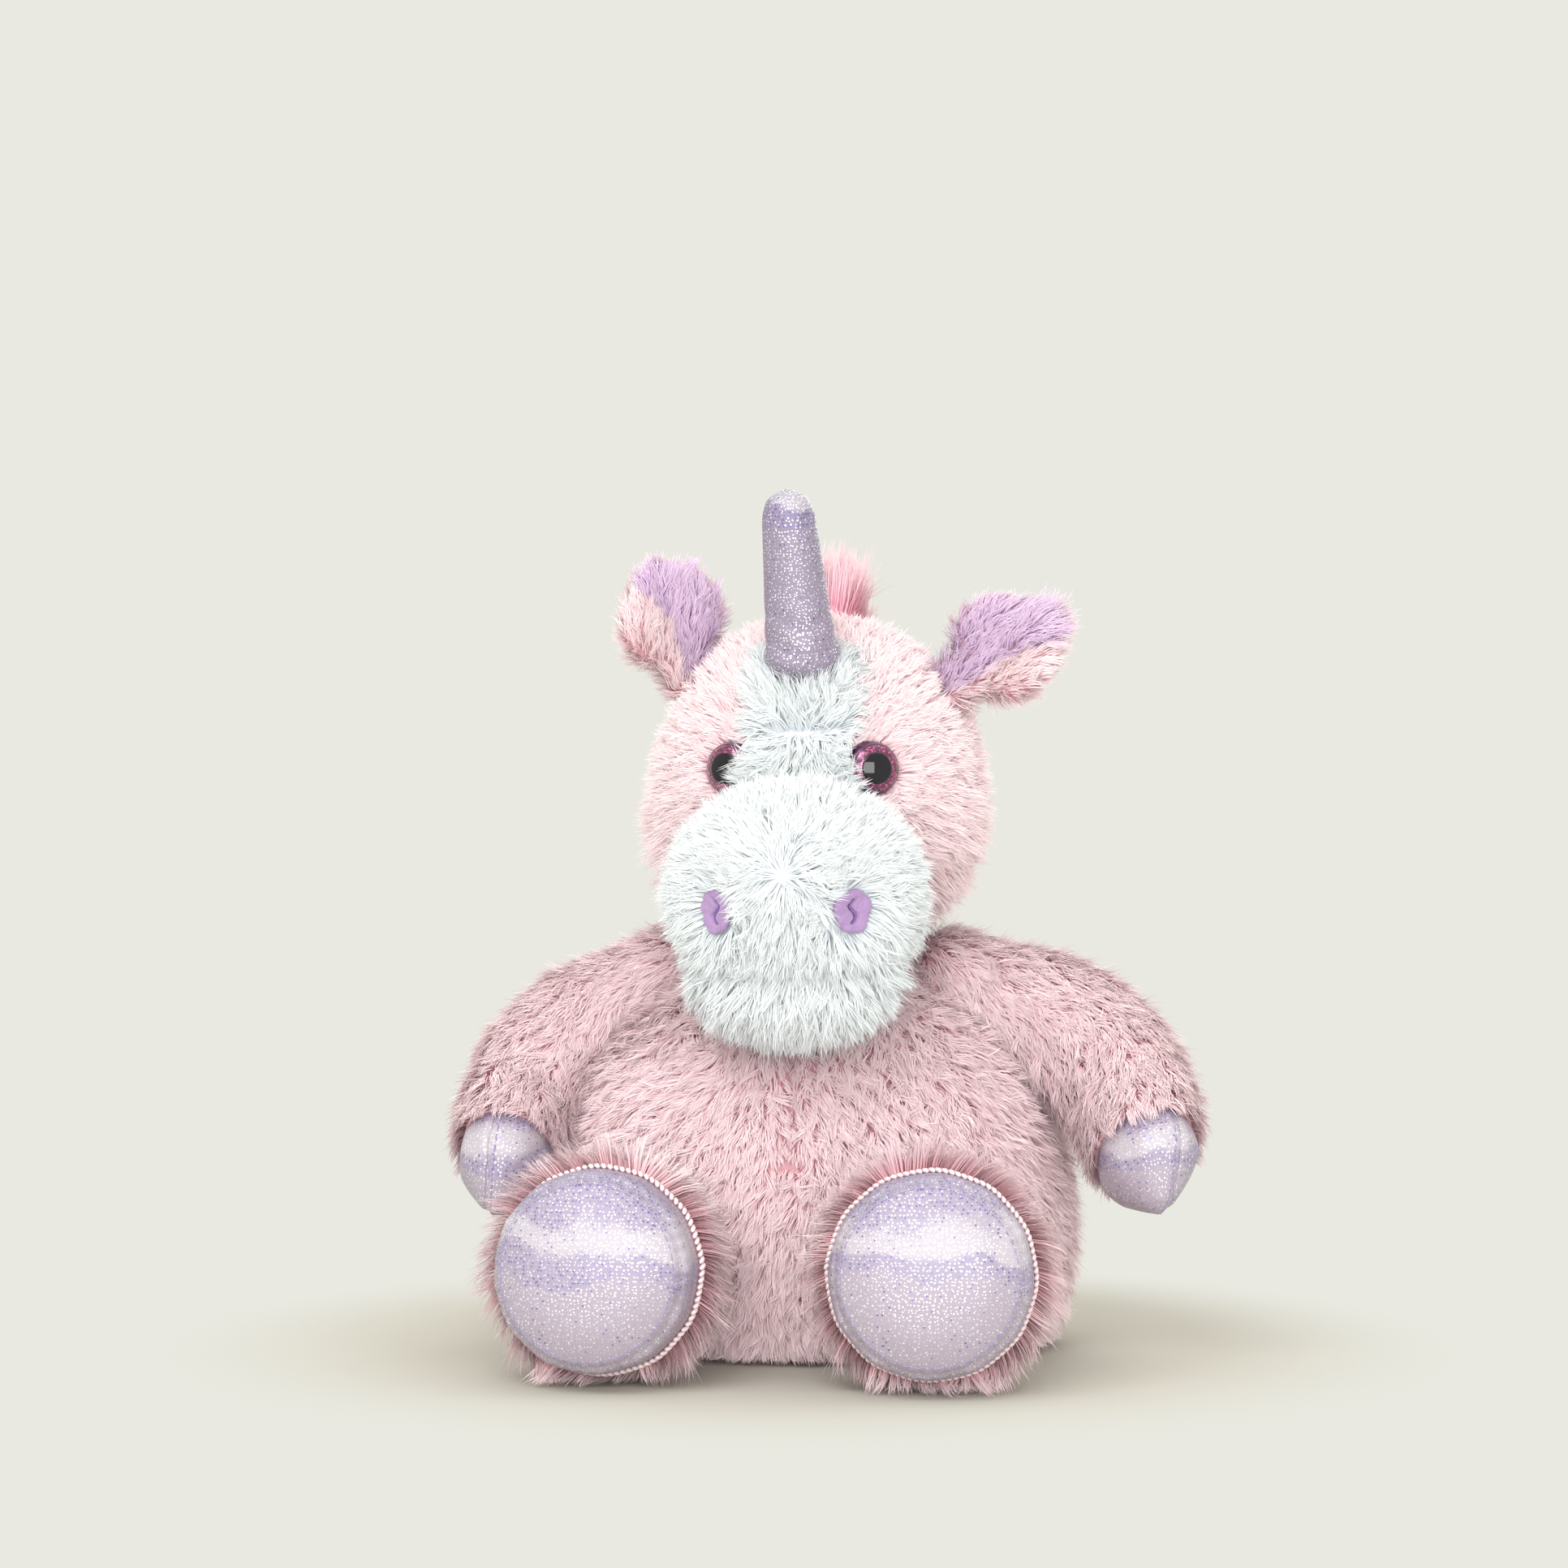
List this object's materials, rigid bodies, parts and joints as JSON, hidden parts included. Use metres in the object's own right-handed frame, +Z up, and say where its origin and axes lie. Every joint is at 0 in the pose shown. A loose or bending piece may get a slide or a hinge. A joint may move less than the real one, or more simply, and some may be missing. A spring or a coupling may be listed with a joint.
{
  "type": "plush unicorn",
  "caption": "seated long-pile plush unicorn with a stuffed horn, glittery cloth hooves, felt nostrils, domed eyes, a mane and a tail",
  "frame": {"origin": "middle of the flat seat under the torso, on the floor", "axes": "+Z up, the toy faces -Y, and +X is the toy's own left"},
  "size_m": [0.2791, 0.2665, 0.3261],
  "materials": {
    "body_plush": "long-pile pale pink plush",
    "head_plush": "long-pile lighter pink plush",
    "white_plush": "long-pile white plush",
    "lilac_plush": "long-pile lilac plush",
    "mane_hair": "long straight pink hair",
    "glitter_cloth": "lilac knit printed with foil dots",
    "felt": "pressed felt",
    "purple_thread": "sewing thread",
    "pale_thread": "sewing thread",
    "filling": "fibre filling",
    "cotton": "woven cotton over pellets",
    "satin": "blank satin ribbon",
    "pink_glitter": "glitter under clear plastic",
    "black_plastic": "gloss",
    "clip_plastic": "plain",
    "eye_dome": "clear tinted gloss"
  },
  "bodies": {
    "torso": {"torso_front_left": "body_plush", "torso_front_right": "body_plush", "torso_back": "body_plush", "torso_stuffing": "filling", "pellet_pouch": "cotton", "care_label": "satin"},
    "neck_sleeve": {"neck_sleeve": "body_plush"},
    "neck_core": {"neck_stuffing": "filling"},
    "head": {"head_side_left": "head_plush", "head_side_right": "head_plush", "blaze_gusset": "white_plush", "muzzle_cover": "white_plush", "chin_cover": "white_plush", "chin_stuffing": "filling", "head_stuffing": "filling", "mouth_thread": "pale_thread", "mane": "mane_hair", "nostril_left": "felt", "nostril_thread_left": "purple_thread", "eye_back_left": "black_plastic", "eye_iris_left": "pink_glitter", "eye_pupil_left": "black_plastic", "eye_dome_left": "eye_dome", "eye_washer_left": "clip_plastic", "nostril_right": "felt", "nostril_thread_right": "purple_thread", "eye_back_right": "black_plastic", "eye_iris_right": "pink_glitter", "eye_pupil_right": "black_plastic", "eye_dome_right": "eye_dome", "eye_washer_right": "clip_plastic"},
    "horn": {"horn_cover": "glitter_cloth", "horn_stuffing": "filling"},
    "tail": {"tail": "mane_hair"},
    "ear_left": {"ear_outer_left": "head_plush", "ear_lining_left": "lilac_plush"},
    "shoulder_left": {"shoulder_stuffing_left": "filling"},
    "arm_left": {"arm_sleeve_left": "body_plush", "arm_stuffing_left": "filling", "hoof_outer_left": "glitter_cloth", "hoof_inner_left": "glitter_cloth"},
    "hip_left": {"hip_stuffing_left": "filling"},
    "leg_left": {"leg_sleeve_left": "body_plush", "leg_stuffing_left": "filling", "foot_band_left": "glitter_cloth", "foot_sole_left": "glitter_cloth", "foot_seam_left": "pale_thread"},
    "ear_right": {"ear_outer_right": "head_plush", "ear_lining_right": "lilac_plush"},
    "shoulder_right": {"shoulder_stuffing_right": "filling"},
    "arm_right": {"arm_sleeve_right": "body_plush", "arm_stuffing_right": "filling", "hoof_outer_right": "glitter_cloth", "hoof_inner_right": "glitter_cloth"},
    "hip_right": {"hip_stuffing_right": "filling"},
    "leg_right": {"leg_sleeve_right": "body_plush", "leg_stuffing_right": "filling", "foot_band_right": "glitter_cloth", "foot_sole_right": "glitter_cloth", "foot_seam_right": "pale_thread"}
  },
  "joints": [
    {"name": "neck_turn", "type": "hinge", "parent": "torso", "child": "neck_sleeve", "pos_m": [0, 0.006, 0.158], "axis": [0, 0, 1], "range_deg": [-30, 30]},
    {"name": "neck_tilt", "type": "hinge", "parent": "neck_sleeve", "child": "neck_core", "pos_m": [0, 0.006, 0.158], "axis": [0, 1, 0], "range_deg": [-12, 12]},
    {"name": "head_nod", "type": "hinge", "parent": "neck_core", "child": "head", "pos_m": [0, 0.006, 0.158], "axis": [1, 0, 0], "range_deg": [-25, 0]},
    {"name": "horn_bend", "type": "hinge", "parent": "head", "child": "horn", "pos_m": [0.00292, -0.04372, 0.26363], "axis": [1, 0, 0], "range_deg": [-15, 15], "stiffness_Nm_per_rad": 0.1},
    {"name": "ear_flop_left", "type": "hinge", "parent": "head", "child": "ear_left", "pos_m": [0.05153, -0.00594, 0.24969], "axis": [0.5514, -0.2756, -0.7874], "range_deg": [-20, 20], "stiffness_Nm_per_rad": 0.03},
    {"name": "ear_flop_right", "type": "hinge", "parent": "head", "child": "ear_right", "pos_m": [-0.04353, -0.00594, 0.24969], "axis": [0.7687, 0.5592, 0.3106], "range_deg": [-20, 20], "stiffness_Nm_per_rad": 0.03},
    {"name": "arm_swing_left", "type": "hinge", "parent": "torso", "child": "shoulder_left", "pos_m": [0.05428, 0.00445, 0.136], "axis": [1, 0, 0], "range_deg": [-70, 0]},
    {"name": "arm_raise_left", "type": "hinge", "parent": "shoulder_left", "child": "arm_left", "pos_m": [0.05428, 0.00445, 0.136], "axis": [0, -1, 0], "range_deg": [0, 55]},
    {"name": "arm_swing_right", "type": "hinge", "parent": "torso", "child": "shoulder_right", "pos_m": [-0.05428, 0.00445, 0.136], "axis": [1, 0, 0], "range_deg": [-70, 0]},
    {"name": "arm_raise_right", "type": "hinge", "parent": "shoulder_right", "child": "arm_right", "pos_m": [-0.05428, 0.00445, 0.136], "axis": [0, 1, 0], "range_deg": [0, 55]},
    {"name": "leg_splay_left", "type": "hinge", "parent": "torso", "child": "hip_left", "pos_m": [0.054, -0.05273, 0.037], "axis": [0, 0, 1], "range_deg": [-6, 12]},
    {"name": "leg_lift_left", "type": "hinge", "parent": "hip_left", "child": "leg_left", "pos_m": [0.054, -0.05273, 0.037], "axis": [1, 0, 0], "range_deg": [-16, 0]},
    {"name": "leg_splay_right", "type": "hinge", "parent": "torso", "child": "hip_right", "pos_m": [-0.054, -0.05273, 0.037], "axis": [0, 0, -1], "range_deg": [-6, 12]},
    {"name": "leg_lift_right", "type": "hinge", "parent": "hip_right", "child": "leg_right", "pos_m": [-0.054, -0.05273, 0.037], "axis": [1, 0, 0], "range_deg": [-16, 0]},
    {"name": "tail_lift", "type": "hinge", "parent": "torso", "child": "tail", "pos_m": [0, 0.07246, 0.044], "axis": [1, 0, 0], "range_deg": [0, 60]}
  ]
}
